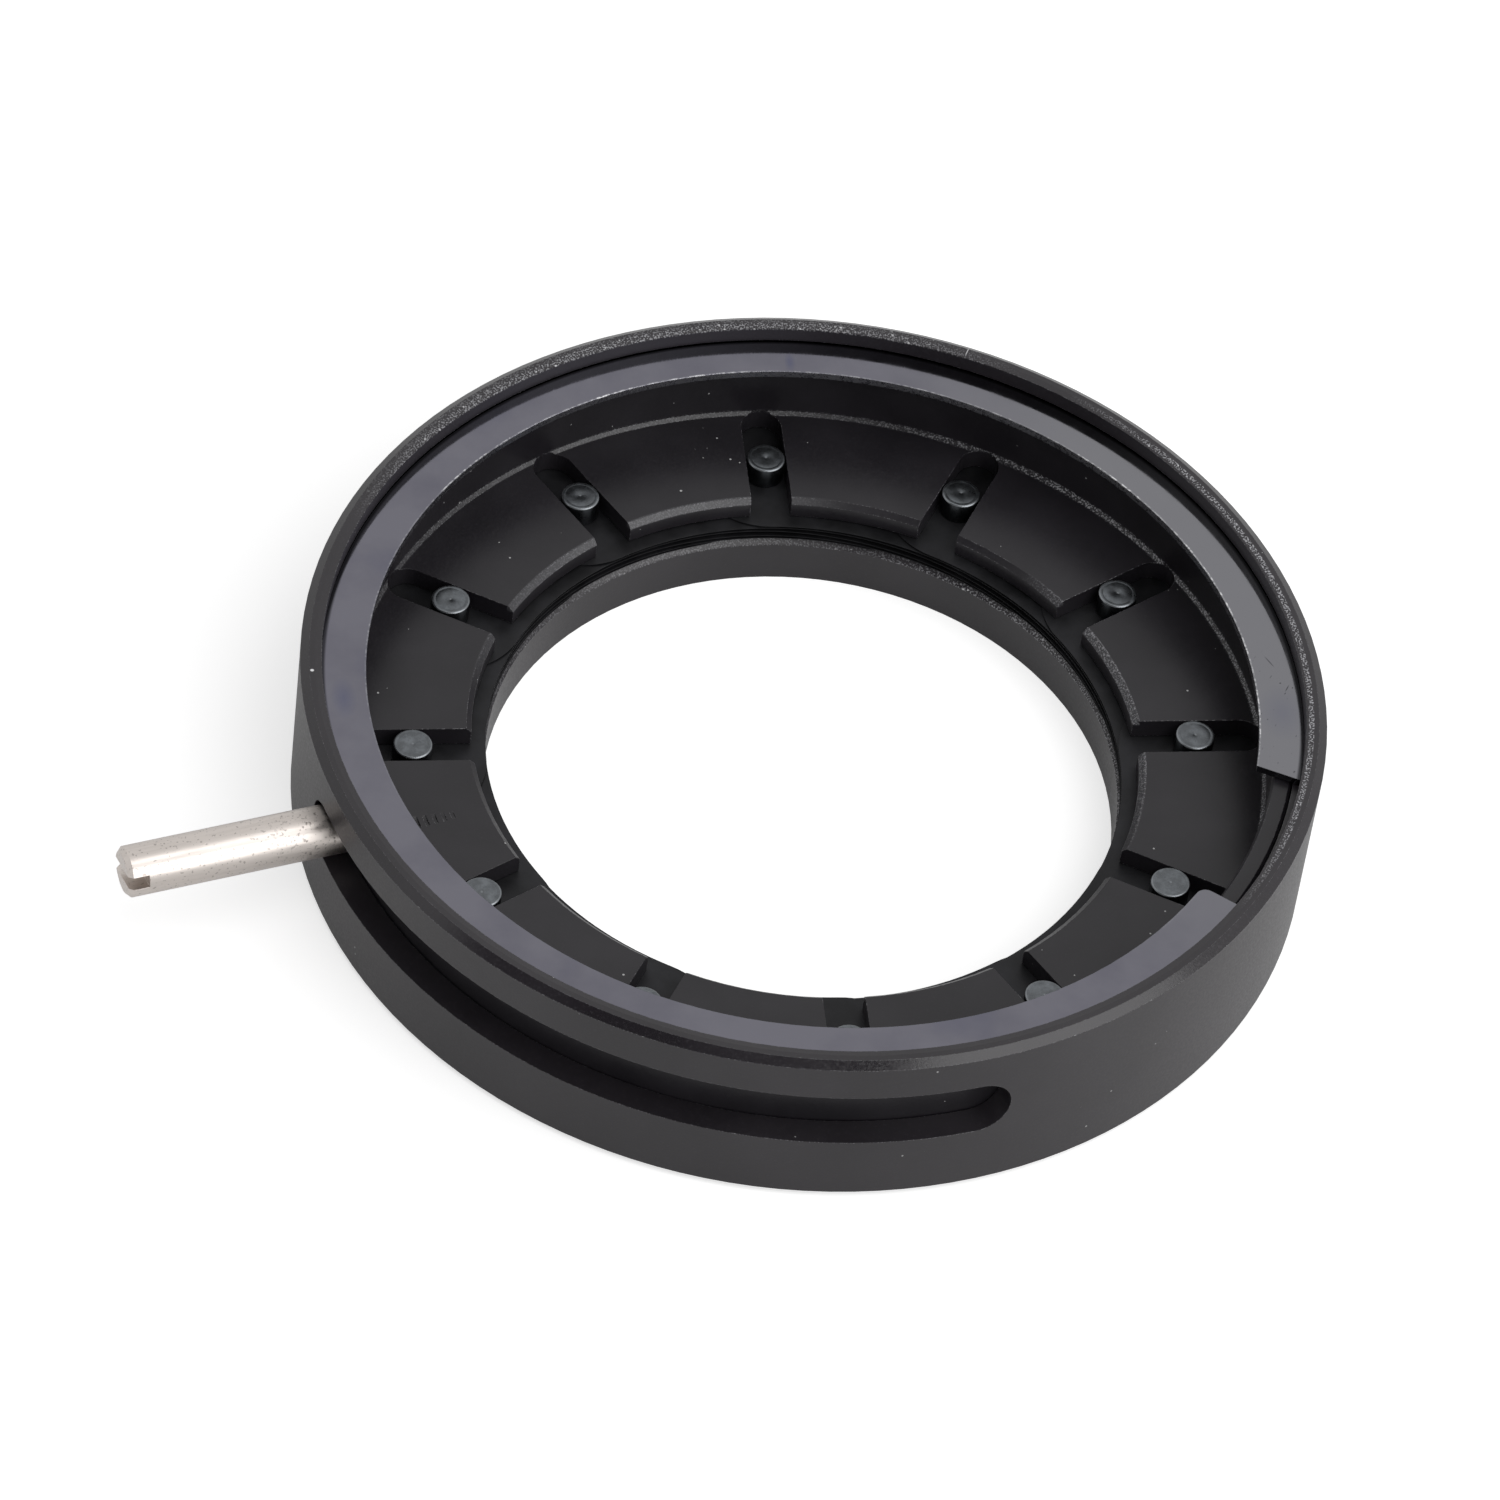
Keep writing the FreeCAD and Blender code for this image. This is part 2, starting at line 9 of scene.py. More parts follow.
import bmesh
import bpy
from mathutils import Matrix, Vector

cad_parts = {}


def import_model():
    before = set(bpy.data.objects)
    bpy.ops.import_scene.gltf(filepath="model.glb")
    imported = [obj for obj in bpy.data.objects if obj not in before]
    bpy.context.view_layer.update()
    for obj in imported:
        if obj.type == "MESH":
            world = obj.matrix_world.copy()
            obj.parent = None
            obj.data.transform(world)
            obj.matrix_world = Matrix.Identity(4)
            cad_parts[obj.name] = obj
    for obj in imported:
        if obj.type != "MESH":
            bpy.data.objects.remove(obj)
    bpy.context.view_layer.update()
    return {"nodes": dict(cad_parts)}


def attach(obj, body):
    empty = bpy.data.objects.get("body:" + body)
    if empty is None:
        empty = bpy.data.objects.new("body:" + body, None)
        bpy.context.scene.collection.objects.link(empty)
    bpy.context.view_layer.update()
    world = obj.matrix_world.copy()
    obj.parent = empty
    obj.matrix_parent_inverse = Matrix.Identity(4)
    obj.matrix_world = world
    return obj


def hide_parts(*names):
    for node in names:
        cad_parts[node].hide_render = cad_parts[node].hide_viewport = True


LOG = logging.getLogger("iris_diaphragm")
MM = 0.001
PHOTO_PIXELS = 1500
# Sockets of the colour mix node, which has several of the same name.
MIX_SHARE, MIX_UNDER, MIX_OVER, MIX_RESULT = 0, 6, 7, 2

Color = Tuple[float, float, float, float]
Point = Tuple[float, float, float]
Profile = Tuple[Tuple[float, float], ...]
Socket = bpy.types.NodeSocket
Amount = Union[Socket, float]
Tint = Union[Socket, Color]


def linear(hex_color: str) -> Color:
    """Turns an sRGB hex colour into the linear colour that a shader reads.

    Args:
        hex_color: six hex digits, such as "1b1b1d".

    Returns:
        Red, green, blue and an alpha of 1.
    """
    channels = [int(hex_color[index:index + 2], 16) / 255 for index in (0, 2, 4)]
    values = [c / 12.92 if c <= 0.04045 else ((c + 0.055) / 1.055) ** 2.4 for c in channels]
    return values[0], values[1], values[2], 1.0


def polar(radius: float, azimuth: float, height: float) -> Point:
    """Finds a point from its distance and direction from the light axis.

    Args:
        radius: distance from the axis.
        azimuth: direction in degrees.
        height: height above the base.

    Returns:
        Its coordinates, in the unit of the radius and height.
    """
    angle = math.radians(azimuth)
    return radius * math.cos(angle), radius * math.sin(angle), height


def per_metre(size_mm: float) -> float:
    """Returns a texture scale whose features are about size_mm across."""
    return 1 / (size_mm * MM)


@dataclass(frozen=True)
class Span:
    """A range of values, and what its start and end are mapped to."""

    start: float
    end: float
    to_start: float = 0.0
    to_end: float = 1.0


@dataclass(frozen=True)
class Cloud:
    """Cloudy noise: size of its features, finer layers, their strength, and the stretch along an azimuth."""

    size_mm: float
    detail: float = 2.0
    roughness: float = 0.5
    stretch: float = 1.0
    azimuth: float = 0.0
    shows: Span = Span(0.0, 1.0)


@dataclass(frozen=True)
class Specks:
    """Round specks: spacing of the cells, share of them that hold one, and smallest and largest radius."""

    spacing: float
    share: float
    smallest: float
    largest: float


@dataclass(frozen=True)
class Edge:
    """A turned edge: its radii, its heights above the base and the width of its fade, all in mm."""

    inner: float
    outer: float
    low: float
    high: float
    soft: float = 0.04


@dataclass(frozen=True)
class Patch:
    """An oval place: radius, azimuth and height of its middle, half sizes, turn, and share that fades out."""

    middle: Point
    reach: Point
    turn: float
    soft: float


@dataclass(frozen=True)
class Sector:
    """A part of the round body: the azimuth of its middle and half of its angle, in degrees."""

    azimuth: float
    reach: float


@dataclass(frozen=True)
class Relief:
    """A bump of the surface: its real depth in mm and how much of it shows."""

    depth: float
    strength: float


class NodeSheet:
    """A node tree that starts empty, with one method that adds a node."""

    def __init__(self, owner: bpy.types.ID) -> None:
        """Empties the node tree of a material or a world."""
        owner.use_nodes = True
        self.tree = owner.node_tree
        self.tree.nodes.clear()

    def add(self, kind: str, sockets: Optional[Dict[object, object]] = None,
            **settings: object) -> bpy.types.Node:
        """Adds a node, sets its properties and fills or links its inputs.

        Args:
            kind: the node's type name, such as "ShaderNodeTexNoise".
            sockets: input name or number, with a value or another node's output.
            settings: properties of the node itself.

        Returns:
            The new node.
        """
        node = self.tree.nodes.new(kind)
        for name, value in settings.items():
            setattr(node, name, value)
        for name, value in (sockets or {}).items():
            socket = node.inputs[name]
            if isinstance(value, Socket):
                self.tree.links.new(value, socket)
            else:
                socket.default_value = value
        return node

    def times(self, first: Socket, second: Amount) -> Socket:
        """Multiplies two values."""
        return self.add("ShaderNodeMath", {0: first, 1: second}, operation="MULTIPLY").outputs[0]

    def plus(self, first: Socket, second: Amount) -> Socket:
        """Adds two values."""
        return self.add("ShaderNodeMath", {0: first, 1: second}, operation="ADD").outputs[0]

    def between(self, value: Socket, span: Span) -> Socket:
        """Maps a range of values to another.

        Args:
            value: the output that is read.
            span: both ranges.

        Returns:
            The mapped value, held within its range.
        """
        sockets = {"Value": value, "From Min": span.start, "From Max": span.end,
                   "To Min": span.to_start, "To Max": span.to_end}
        return self.add("ShaderNodeMapRange", sockets).outputs[0]


class FinishSheet(NodeSheet):
    """The node tree of one material, with the patterns and masks that the finishes are made of."""

    def __init__(self, name: str) -> None:
        """Starts an empty material of that name."""
        self.material = bpy.data.materials.new(name)
        super().__init__(self.material)
        self.place = self.add("ShaderNodeTexCoord").outputs["Object"]

    def band(self, value: Socket, low: float, high: float, soft: float) -> Socket:
        """Makes a mask that is 1 between two values and fades outside them.

        Args:
            value: the output that is measured.
            low: lower end of the band.
            high: upper end of the band.
            soft: width of the fade at each end.

        Returns:
            The mask, from 0 to 1.
        """
        rise = self.between(value, Span(low - soft, low))
        fall = self.between(value, Span(high, high + soft, 1.0, 0.0))
        return self.times(rise, fall)

    def radius_and_height(self) -> Tuple[Socket, Socket]:
        """Measures the distance from the light axis and the height above the base.

        Returns:
            Both outputs, in metres.
        """
        parts = self.add("ShaderNodeSeparateXYZ", {0: self.place})
        flat = self.add("ShaderNodeCombineXYZ", {"X": parts.outputs["X"], "Y": parts.outputs["Y"]})
        radius = self.add("ShaderNodeVectorMath", {0: flat.outputs[0]}, operation="LENGTH")
        return radius.outputs["Value"], parts.outputs["Z"]

    def edge_band(self, edge: Edge) -> Socket:
        """Masks a turned edge.

        Args:
            edge: its radii and heights.

        Returns:
            The mask, from 0 to 1.
        """
        out, up = self.radius_and_height()
        across = self.band(out, edge.inner * MM, edge.outer * MM, edge.soft * MM)
        along = self.band(up, edge.low * MM, edge.high * MM, edge.soft * MM)
        return self.times(across, along)

    def spot(self, patch: Patch) -> Socket:
        """Masks an oval place, such as a stain, a smudge or a scratch.

        Args:
            patch: where it lies and how large it is.

        Returns:
            The mask, 1 in the middle.
        """
        sockets = {"Vector": self.place, "Location": [c * MM for c in polar(*patch.middle)],
                   "Rotation": (0.0, 0.0, math.radians(patch.turn)),
                   "Scale": [r * MM for r in patch.reach]}
        drawn = self.add("ShaderNodeMapping", sockets, vector_type="TEXTURE")
        far = self.add("ShaderNodeVectorMath", {0: drawn.outputs[0]}, operation="LENGTH")
        return self.between(far.outputs["Value"], Span(1.0, 1.0 - patch.soft))

    def toward(self, sector: Sector) -> Socket:
        """Masks the part of the round body that lies one way from the light axis.

        Args:
            sector: which way, and how wide.

        Returns:
            The mask, fading over the outer half of its angle.
        """
        flat = self.add("ShaderNodeVectorMath", {0: self.place, 1: (1.0, 1.0, 0.0)}, operation="MULTIPLY")
        unit = self.add("ShaderNodeVectorMath", {0: flat.outputs[0]}, operation="NORMALIZE")
        sockets = {0: unit.outputs[0], 1: polar(1.0, sector.azimuth, 0.0)}
        facing = self.add("ShaderNodeVectorMath", sockets, operation="DOT_PRODUCT")
        widest, fullest = (math.cos(math.radians(angle)) for angle in (sector.reach, sector.reach / 2))
        return self.between(facing.outputs["Value"], Span(widest, fullest))

    def rounded(self, radius_mm: float, samples: int = 6) -> Socket:
        """Softens the look of every sharp edge to that radius."""
        return self.add("ShaderNodeBevel", {"Radius": radius_mm * MM}, samples=samples).outputs[0]

    def edges(self, rounded: Socket, turned_away: Span = Span(0.995, 0.93)) -> Socket:
        """Masks the sharp edges, where wear starts.

        Args:
            rounded: the softened normal.
            turned_away: cosine between both normals, off an edge and on it.

        Returns:
            The mask, 1 on an edge.
        """
        plain = self.add("ShaderNodeNewGeometry").outputs["Normal"]
        same = self.add("ShaderNodeVectorMath", {0: plain, 1: rounded}, operation="DOT_PRODUCT")
        return self.between(same.outputs["Value"], turned_away)

    def specks(self, pattern: Specks) -> Socket:
        """Scatters small round specks.

        Args:
            pattern: their spacing, share and radii.

        Returns:
            The mask, 1 on a speck.
        """
        sockets = {"Vector": self.place, "Scale": per_metre(pattern.spacing)}
        cells = self.add("ShaderNodeTexVoronoi", sockets, feature="F1")
        chosen = self.add("ShaderNodeSeparateColor", {0: cells.outputs["Color"]})
        held = self.add("ShaderNodeMath", {0: chosen.outputs[0], 1: 1 - pattern.share},
                        operation="GREATER_THAN")
        sizes = Span(0.0, 1.0, pattern.smallest / pattern.spacing, pattern.largest / pattern.spacing)
        reach = self.between(chosen.outputs[1], sizes)
        near = self.add("ShaderNodeMath", {0: cells.outputs["Distance"], 1: reach}, operation="LESS_THAN")
        return self.times(held.outputs[0], near.outputs[0])

    def noise(self, pattern: Cloud) -> Socket:
        """Adds cloudy noise.

        Args:
            pattern: its size, layers and stretch.

        Returns:
            The noise, about 0.5 on average.
        """
        sockets = {"Vector": self.place, "Rotation": (0.0, 0.0, math.radians(pattern.azimuth)),
                   "Scale": (pattern.stretch, 1.0, 1.0)}
        drawn = self.add("ShaderNodeMapping", sockets, vector_type="TEXTURE")
        cloud = self.add("ShaderNodeTexNoise", {"Vector": drawn.outputs[0], "Scale": per_metre(pattern.size_mm),
                                                "Detail": pattern.detail, "Roughness": pattern.roughness})
        return cloud.outputs["Fac"]

    def cloud(self, pattern: Cloud) -> Socket:
        """Adds cloudy noise and maps the range of it that shows."""
        return self.between(self.noise(pattern), pattern.shows)

    def lay(self, under: Tint, over: str, share: Amount) -> Socket:
        """Lays one colour over another.

        Args:
            under: the colour below.
            over: the hex colour on top.
            share: how much of the top shows.

        Returns:
            The mixed colour.
        """
        sockets = {MIX_SHARE: share, MIX_UNDER: under, MIX_OVER: linear(over)}
        return self.add("ShaderNodeMix", sockets, data_type="RGBA").outputs[MIX_RESULT]

    def relief(self, height: Socket, bump: Relief, rounded: Socket) -> Socket:
        """Turns a value into a bump of the surface.

        Args:
            height: the value, 1 being the highest.
            bump: how deep it is.
            rounded: the softened normal under it.

        Returns:
            The bumped normal.
        """
        sockets = {"Height": height, "Distance": bump.depth * MM, "Strength": bump.strength, "Normal": rounded}
        return self.add("ShaderNodeBump", sockets).outputs[0]

    def surface(self, **sockets: object) -> bpy.types.Material:
        """Closes the sheet with the surface shader.

        Args:
            sockets: inputs of the shader, spaces written as underscores.

        Returns:
            The finished material.
        """
        named = {name.replace("_", " "): value for name, value in sockets.items()}
        shader = self.add("ShaderNodeBsdfPrincipled", named)
        self.add("ShaderNodeOutputMaterial", {"Surface": shader.outputs[0]})
        return self.material


@dataclass(frozen=True)
class BlastedBlackAnodised:
    """Aluminium, bead blasted and dyed black: an even charcoal that sparkles where the edges have worn."""

    name: str = "aluminium_blasted_black_anodised"
    color: str = "201d21"
    paler: str = "282529"
    grit: str = "353237"
    worn: str = "a8a8ac"
    bare: str = "e4e4e6"
    dust: str = "b8b8b8"
    edge_radius: float = 0.08
    refraction: float = 1.52
    mottle: Cloud = Cloud(9.0, 3.0, shows=Span(0.35, 0.7))
    # The blasted grain is about 0.08 mm in life, drawn coarser so that it shows.
    grain: Cloud = Cloud(0.2, 1.0, 0.6)
    grit_shows: Span = Span(0.58, 0.8, 0.0, 0.5)
    gloss: Span = Span(0.3, 0.7, 0.32, 0.42)
    relief: Relief = Relief(0.012, 0.35)
    glints: Cloud = Cloud(0.13, 0.0, shows=Span(0.48, 0.7))
    sparkle: Specks = Specks(0.4, 0.2, 0.05, 0.1)
    sparkle_share: float = 0.9
    dust_specks: Specks = Specks(0.8, 0.05, 0.04, 0.09)
    dust_share: float = 0.7
    bevel: Edge = Edge(37.2, 37.72, 14.4, 14.62)
    bevel_wear: float = 0.4
    rim: Edge = Edge(37.2, 38.1, 14.4, 14.62)
    rim_wear: float = 0.28
    back: Sector = Sector(106, 48)
    crest: Edge = Edge(37.38, 37.74, 14.4, 14.62)
    crest_wear: float = 1.1
    right: Sector = Sector(6, 46)
    opening: Edge = Edge(24.15, 24.72, 3.55, 4.15)
    opening_wear: float = 0.2
    opening_right: Sector = Sector(12, 60)
    opening_right_wear: float = 0.45
    sharp_wear: float = 0.4
    outer_chamfer: Edge = Edge(38.17, 38.9, 14.1, 14.58, 0.05)
    chamfer_roughness: float = -0.17
    scratch: Patch = Patch((37.9, 65.5, 14.6), (0.7, 0.05, 0.4), 65.5, 0.8)
    scratch_share: float = 0.8
    chip: Patch = Patch((37.95, 178.6, 14.6), (0.17, 0.15, 0.4), 177.5, 0.4)

    def make(self) -> bpy.types.Material:
        """Builds the material."""
        sheet = FinishSheet(self.name)
        rounded = sheet.rounded(self.edge_radius)
        grain = sheet.noise(self.grain)
        shade = sheet.lay(linear(self.color), self.paler, sheet.cloud(self.mottle))
        shade = sheet.lay(shade, self.grit, sheet.between(grain, self.grit_shows))
        glints = sheet.cloud(self.glints)
        worn = self.worn_places(sheet, rounded)
        shade = sheet.lay(shade, self.worn, sheet.times(worn, glints))
        sparkle = sheet.times(worn, sheet.specks(self.sparkle))
        shade = sheet.lay(shade, self.bare, sheet.times(sparkle, self.sparkle_share))
        shade = sheet.lay(shade, self.dust, sheet.times(sheet.specks(self.dust_specks), self.dust_share))
        shade = sheet.lay(shade, self.bare, self.chips(sheet))
        # The rim's outer chamfer is turned after the blasting, so it shines more.
        turned = sheet.times(sheet.edge_band(self.outer_chamfer), self.chamfer_roughness)
        rough = sheet.plus(sheet.between(grain, self.gloss), turned)
        return sheet.surface(Base_Color=shade, Roughness=rough, IOR=self.refraction,
                             Normal=sheet.relief(grain, self.relief, rounded))

    def worn_places(self, sheet: FinishSheet, rounded: Socket) -> Socket:
        """Masks the edges where the dye has worn: the lip's bevel, the opening's chamfer and sharp edges.

        Args:
            sheet: the material's sheet.
            rounded: its softened normal.

        Returns:
            The mask, weaker where little has worn.
        """
        bevel = sheet.times(sheet.edge_band(self.bevel), self.bevel_wear)
        rim = sheet.times(sheet.edge_band(self.rim), self.rim_wear)
        back = sheet.times(sheet.toward(self.back), sheet.plus(bevel, rim))
        crest = sheet.edge_band(self.crest)
        right = sheet.times(sheet.times(sheet.toward(self.right), self.crest_wear), crest)
        opening_right = sheet.times(sheet.toward(self.opening_right), self.opening_right_wear)
        opening = sheet.times(sheet.edge_band(self.opening), sheet.plus(opening_right, self.opening_wear))
        sharp = sheet.times(sheet.edges(rounded), self.sharp_wear)
        return sheet.plus(sheet.plus(back, right), sheet.plus(opening, sharp))

    def chips(self, sheet: FinishSheet) -> Socket:
        """Masks the few scratches and chips on the rim."""
        return sheet.plus(sheet.times(sheet.spot(self.scratch), self.scratch_share), sheet.spot(self.chip))


@dataclass(frozen=True)
class TurnedBlackAnodised:
    """Aluminium, finely turned and dyed black: smooth charcoal with bright metal at its worn slot edges."""

    name: str = "aluminium_turned_black_anodised"
    color: str = "1b191d"
    paler: str = "242226"
    grit: str = "2d2b2f"
    worn: str = "9a9a9e"
    dust: str = "c0c0c0"
    edge_radius: float = 0.07
    refraction: float = 1.47
    mottle: Cloud = Cloud(6.0, 3.0, shows=Span(0.35, 0.7))
    # The turned grain is finer than 0.1 mm in life, drawn coarser so that it shows.
    grain: Cloud = Cloud(0.2, 1.0, 0.6)
    grit_shows: Span = Span(0.6, 0.8, 0.0, 0.4)
    gloss: Span = Span(0.3, 0.7, 0.30, 0.40)
    relief: Relief = Relief(0.008, 0.3)
    glints: Cloud = Cloud(0.13, 0.0, shows=Span(0.48, 0.7))
    dust_specks: Specks = Specks(0.7, 0.06, 0.04, 0.10)
    gathered_specks: Specks = Specks(0.45, 0.3, 0.03, 0.09)
    dusty_place: Patch = Patch((31.8, 98, 7.25), (2.2, 1.5, 1.0), 98, 0.4)
    dust_share: float = 0.8
    foot: Edge = Edge(34.75, 35.3, 7.28, 7.62)
    foot_wear: float = 0.16
    foot_right: Sector = Sector(18, 60)
    foot_right_wear: float = 0.7
    teeth: Edge = Edge(25.3, 25.95, 6.8, 7.28, 0.05)
    teeth_back: Sector = Sector(122, 45)
    teeth_right: Sector = Sector(8, 35)
    teeth_right_wear: float = 0.8
    teeth_haze: float = 0.1
    teeth_glints: float = 0.14
    teeth_glints_right: Sector = Sector(8, 60)
    teeth_glints_right_wear: float = 0.5
    worn_side: Cloud = Cloud(7.0, 1.0, shows=Span(0.42, 0.58, 0.15, 1.0))
    sharp_wear: float = 0.9

    def make(self) -> bpy.types.Material:
        """Builds the material."""
        sheet = FinishSheet(self.name)
        rounded = sheet.rounded(self.edge_radius)
        grain = sheet.noise(self.grain)
        shade = sheet.lay(linear(self.color), self.paler, sheet.cloud(self.mottle))
        shade = sheet.lay(shade, self.grit, sheet.between(grain, self.grit_shows))
        shade = sheet.lay(shade, self.worn, sheet.times(self.rubbed_teeth(sheet), self.teeth_haze))
        worn = sheet.times(self.worn_places(sheet, rounded), sheet.cloud(self.glints))
        shade = sheet.lay(shade, self.worn, worn)
        gathered = sheet.times(sheet.specks(self.gathered_specks), sheet.spot(self.dusty_place))
        dust = sheet.plus(sheet.specks(self.dust_specks), gathered)
        shade = sheet.lay(shade, self.dust, sheet.times(dust, self.dust_share))
        return sheet.surface(Base_Color=shade, Roughness=sheet.between(grain, self.gloss), IOR=self.refraction,
                             Normal=sheet.relief(grain, self.relief, rounded))

    def worn_places(self, sheet: FinishSheet, rounded: Socket) -> Socket:
        """Masks the inner chamfers of the web, the foot of the wall and the sharp edges.

        Args:
            sheet: the material's sheet.
            rounded: its softened normal.

        Returns:
            The mask, weaker where little has worn.
        """
        foot_right = sheet.times(sheet.toward(self.foot_right), self.foot_right_wear)
        foot = sheet.times(sheet.edge_band(self.foot), sheet.plus(foot_right, self.foot_wear))
        edges = sheet.times(sheet.edges(rounded), sheet.cloud(self.worn_side))
        sharp = sheet.times(edges, self.sharp_wear)
        glints_right = sheet.times(sheet.toward(self.teeth_glints_right), self.teeth_glints_right_wear)
        teeth = sheet.times(self.rubbed_teeth(sheet), sheet.plus(glints_right, self.teeth_glints))
        return sheet.plus(teeth, sheet.plus(foot, sharp))

    def rubbed_teeth(self, sheet: FinishSheet) -> Socket:
        """Masks the inner chamfers of the web, on the two sides where they are rubbed."""
        right = sheet.times(sheet.toward(self.teeth_right), self.teeth_right_wear)
        return sheet.times(sheet.edge_band(self.teeth), sheet.plus(sheet.toward(self.teeth_back), right))


@dataclass(frozen=True)
class SatinSpringSteel:
    """Spring steel, rolled and lightly blued: a satin lavender grey with stains and nicks, painted light that
    makes one side paler, a painted highlight along its inner edge and painted shade where it goes into its
    groove.
    """

    name: str = "steel_spring_satin_blued"
    color: str = "7a7982"
    darker: str = "706f79"
    painted_light_color: str = "858589"
    stain: str = "585c78"
    nick: str = "2c2c30"
    # Painted highlight: near-white laid along the inside edge of the clip.
    edge: str = "f0f0f2"
    cut: str = "66666a"
    # Painted shade: near-black laid where the clip goes into its groove, for the shadow at the groove's mouth.
    oil: str = "18181b"
    edge_radius: float = 0.07
    mottle: Cloud = Cloud(6.0, 4.0, 0.6, shows=Span(0.4, 0.7))
    gloss: Cloud = Cloud(1.4, 3.0, shows=Span(0.3, 0.7, 0.08, 0.14))
    rolling: Cloud = Cloud(0.4, 2.0)
    relief: Relief = Relief(0.002, 0.15)
    # Painted light: the clip is made paler on the side toward azimuth 12, beside the gap.
    painted_light_side: Sector = Sector(12, 65)
    painted_light_share: float = 0.9
    faint_stains: Cloud = Cloud(12.0, 3.0, shows=Span(0.6, 0.75, 0.0, 0.7))
    blue_stain: Patch = Patch((35.6, 181, 13.15), (1.0, 2.2, 0.5), 181, 0.9)
    end_stain: Patch = Patch((35.6, 355, 13.15), (2.0, 3.0, 0.5), 355, 0.9)
    end_stain_share: float = 0.5
    smudge: Patch = Patch((34.9, 87, 13.15), (1.2, 0.45, 0.5), 87, 0.8)
    stain_share: float = 0.45
    nicks: Cloud = Cloud(0.2, 0.0, 0.5, 2.0, 60.0, shows=Span(0.79, 0.85))
    beside_gap: Sector = Sector(353, 13)
    long_hair: Patch = Patch((35.3, 3.5, 13.15), (0.75, 0.05, 0.4), 118, 0.5)
    short_hair: Patch = Patch((36.2, 359, 13.15), (0.45, 0.05, 0.4), 60, 0.5)
    nick_share: float = 0.7
    groove_shadow_mm: Span = Span(36.82, 37.0, 0.0, 0.8)
    cut_band: Edge = Edge(33.6, 33.83, 12.5, 13.06, 0.02)
    cut_patches: Cloud = Cloud(0.25, 1.0, shows=Span(0.4, 0.6, 0.35, 1.0))
    cut_roughness: float = 0.4
    highlight_line: Edge = Edge(33.6, 33.9, 13.05, 13.2, 0.02)
    gleams: Cloud = Cloud(0.4, 2.0, 0.6, shows=Span(0.44, 0.62, 0.1, 0.9))
    gleam_patches: Cloud = Cloud(4.0, 1.0, shows=Span(0.42, 0.58, 0.35, 1.0))
    highlight_far_side: Sector = Sector(75, 130)
    highlight_far_side_share: float = 0.42
    highlight_back: Sector = Sector(114, 34)
    highlight_right: Sector = Sector(13, 44)
    highlight_right_share: float = 1.2
    highlight_share: float = 0.5

    def make(self) -> bpy.types.Material:
        """Builds the material."""
        sheet = FinishSheet(self.name)
        rounded = sheet.rounded(self.edge_radius)
        shade = sheet.lay(linear(self.color), self.darker, sheet.cloud(self.mottle))
        # Painted light: the side toward azimuth 12 is made paler.
        plain = sheet.times(sheet.toward(self.painted_light_side), self.painted_light_share)
        shade = sheet.lay(shade, self.painted_light_color, plain)
        shade = sheet.lay(shade, self.stain, sheet.times(self.stains(sheet), self.stain_share))
        shade = sheet.lay(shade, self.nick, self.scratches(sheet))
        # Painted shade where the clip goes into its groove.
        shade = sheet.lay(shade, self.oil, self.painted_groove_shadow(sheet))
        cut = sheet.times(sheet.edge_band(self.cut_band), sheet.cloud(self.cut_patches))
        shade = sheet.lay(shade, self.cut, cut)
        # Painted highlight along the inside edge.
        shade = sheet.lay(shade, self.edge, self.painted_edge_highlight(sheet))
        rough = sheet.plus(sheet.cloud(self.gloss), sheet.times(cut, self.cut_roughness))
        return sheet.surface(Base_Color=shade, Roughness=rough, Metallic=1.0,
                             Normal=sheet.relief(sheet.noise(self.rolling), self.relief, rounded))

    def stains(self, sheet: FinishSheet) -> Socket:
        """Masks the bluish stains and the dark smudge at the back."""
        end = sheet.times(sheet.spot(self.end_stain), self.end_stain_share)
        marks = sheet.plus(sheet.spot(self.blue_stain), sheet.spot(self.smudge))
        return sheet.plus(sheet.plus(sheet.cloud(self.faint_stains), end), marks)

    def scratches(self, sheet: FinishSheet) -> Socket:
        """Masks the short dark nicks and the two hair scratches beside the gap."""
        nicks = sheet.times(sheet.cloud(self.nicks), sheet.toward(self.beside_gap))
        hairs = sheet.plus(sheet.spot(self.long_hair), sheet.spot(self.short_hair))
        return sheet.times(sheet.plus(nicks, hairs), self.nick_share)

    def painted_groove_shadow(self, sheet: FinishSheet) -> Socket:
        """Masks the painted shadow, near-black, where the clip goes into its groove."""
        out, _ = sheet.radius_and_height()
        side = self.groove_shadow_mm
        return sheet.between(out, Span(side.start * MM, side.end * MM, side.to_start, side.to_end))

    def painted_edge_highlight(self, sheet: FinishSheet) -> Socket:
        """Masks the painted highlight along the inside edge of the clip, broken into short gleams."""
        right = sheet.times(sheet.toward(self.highlight_right), self.highlight_right_share)
        bright = sheet.plus(sheet.toward(self.highlight_back), right)
        highlight_far_side = sheet.times(sheet.toward(self.highlight_far_side), self.highlight_far_side_share)
        sides = sheet.plus(highlight_far_side, sheet.times(bright, self.highlight_share))
        patches = sheet.times(sides, sheet.cloud(self.gleam_patches))
        return sheet.times(sheet.times(sheet.edge_band(self.highlight_line), patches), sheet.cloud(self.gleams))


